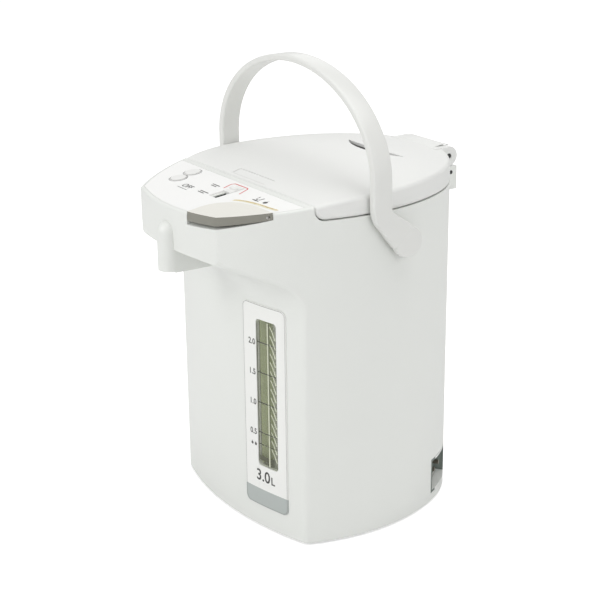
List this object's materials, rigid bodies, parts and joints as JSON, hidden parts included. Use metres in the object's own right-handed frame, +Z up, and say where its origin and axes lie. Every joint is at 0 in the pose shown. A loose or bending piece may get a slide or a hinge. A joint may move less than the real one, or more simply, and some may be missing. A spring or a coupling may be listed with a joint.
{
  "type": "electric thermo pot",
  "caption": "D-shaped electric hot water pot with a rear-hinged lid, bail handle, tilted control head, pour lever, water gauge and front spout.",
  "frame": {"origin": "under the middle of the outer box, on the surface that the feet stand on", "axes": "+Z up, -Y to the front where the spout is, +X to the right seen from the front"},
  "size_m": [0.2366, 0.2749, 0.3835],
  "materials": {
    "white_shell": "injection moulded, soft satin white",
    "lid_white": "injection moulded, satin warm white",
    "panel_white": "thin printed overlay",
    "handle_white": "satin white strap",
    "lever_grey": "fine grained warm grey",
    "key_grey": "soft key caps",
    "vent_dark": "dark slotted grille",
    "label_white": "printed scale plate",
    "window_clear": "clear moulded window",
    "tube_clear": "clear water gauge tube",
    "gauge_olive": "olive grey backing with stripes",
    "inner_plastic": "food grade plastic",
    "base_plastic": "plain base moulding",
    "stainless": "polished stainless sheet",
    "heater_metal": "heater plate",
    "insulation_felt": "insulation jacket",
    "silicone": "translucent silicone",
    "foot_rubber": "soft dark feet",
    "motor_steel": "plated steel can",
    "impeller_plastic": "moulded impeller",
    "board_green": "glass fibre circuit board",
    "coil_dark": "lacquered core and case",
    "socket_grey": "dark grey socket",
    "contact_brass": "plated contacts",
    "magnet_nickel": "nickel plated magnets",
    "screw_steel": "zinc plated"
  },
  "bodies": {
    "root": {"band_heater": "heater_metal", "base_cover": "base_plastic", "base_heater": "heater_metal", "base_screws": "screw_steel", "body_shell": "white_shell", "chassis_plate": "stainless", "collar": "white_shell", "container": "stainless", "container_seal": "silicone", "control_board": "board_green", "gauge_backing": "gauge_olive", "gauge_tube": "tube_clear", "gauge_window": "window_clear", "hinge_bracket": "white_shell", "hinge_pin": "stainless", "inlet_hose": "silicone", "inlet_magnets": "magnet_nickel", "inlet_pins": "contact_brass", "inlet_socket": "socket_grey", "insulation_sleeve": "insulation_felt", "label_plate": "label_white", "lever_pin": "stainless", "lever_spring": "stainless", "lever_switch": "inner_plastic", "low_elbow": "inner_plastic", "mouth_ring": "inner_plastic", "panel_plate": "panel_white", "power_board": "board_green", "power_relay": "coil_dark", "pump_bracket": "motor_steel", "pump_cover": "inner_plastic", "pump_hose": "silicone", "pump_housing": "inner_plastic", "pump_motor": "motor_steel", "pump_seal": "silicone", "rubber_feet": "foot_rubber", "spout_cover": "white_shell", "spout_hose": "silicone", "spout_nozzle": "inner_plastic", "support_ring": "inner_plastic", "thermal_cutout": "heater_metal", "thermistor": "heater_metal", "top_elbow": "inner_plastic", "transformer": "coil_dark"},
    "lid": {"lid_cover": "lid_white", "lid_liner": "inner_plastic", "lid_gasket": "silicone", "vent_grille": "vent_dark", "valve_cage": "inner_plastic"},
    "lid_key": {"lid_key": "lid_white"},
    "valve_ball": {"valve_ball": "stainless"},
    "handle": {"handle": "handle_white", "handle_clips": "screw_steel"},
    "pour_lever": {"pour_lever": "lever_grey"},
    "lock_slider": {"lock_slider": "key_grey"},
    "round_key_front": {"round_key_front": "key_grey"},
    "round_key_back": {"round_key_back": "key_grey"},
    "motor_rotor": {"motor_shaft": "stainless", "drive_magnet": "motor_steel"},
    "impeller": {"impeller": "impeller_plastic"}
  },
  "joints": [
    {"name": "lid_open", "type": "hinge", "parent": "root", "child": "lid", "pos_m": [0, 0.129, 0.287], "axis": [-1, 0, 0], "range_deg": [0, 70]},
    {"name": "handle_fold", "type": "hinge", "parent": "root", "child": "handle", "pos_m": [0, 0.0225, 0.2495], "axis": [-1, 0, 0], "range_deg": [0, 120]},
    {"name": "lid_key_press", "type": "slide", "parent": "lid", "child": "lid_key", "axis": [0, 0, -1], "range_m": [0, 0.0015], "stiffness_N_per_m": 600, "springref_m": -0.001},
    {"name": "valve_ball_lift", "type": "slide", "parent": "lid", "child": "valve_ball", "axis": [0, 0, 1], "range_m": [0, 0.008]},
    {"name": "lever_press", "type": "hinge", "parent": "root", "child": "pour_lever", "pos_m": [0.064, -0.0875, 0.2796], "axis": [1, 0, 0], "range_deg": [0, 4], "stiffness_Nm_per_rad": 3, "springref_deg": -2.86},
    {"name": "lock_slide", "type": "slide", "parent": "root", "child": "lock_slider", "axis": [0, -0.9929, -0.1191], "range_m": [0, 0.011]},
    {"name": "key_front_press", "type": "slide", "parent": "root", "child": "round_key_front", "axis": [0, 0, -1], "range_m": [0, 0.0008], "stiffness_N_per_m": 800, "springref_m": -0.0008},
    {"name": "key_back_press", "type": "slide", "parent": "root", "child": "round_key_back", "axis": [0, 0, -1], "range_m": [0, 0.0008], "stiffness_N_per_m": 800, "springref_m": -0.0008},
    {"name": "rotor_spin", "type": "hinge", "parent": "root", "child": "motor_rotor", "pos_m": [0.038, -0.012, 0.02], "axis": [0, 0, 1], "continuous": true},
    {"name": "impeller_spin", "type": "hinge", "parent": "root", "child": "impeller", "pos_m": [0.038, -0.012, 0.036], "axis": [0, 0, 1], "continuous": true}
  ],
  "couplings": [
    {"joint": "handle_fold", "follows": "lid_open", "ratio": 1.7},
    {"joint": "impeller_spin", "follows": "rotor_spin", "ratio": 1}
  ]
}
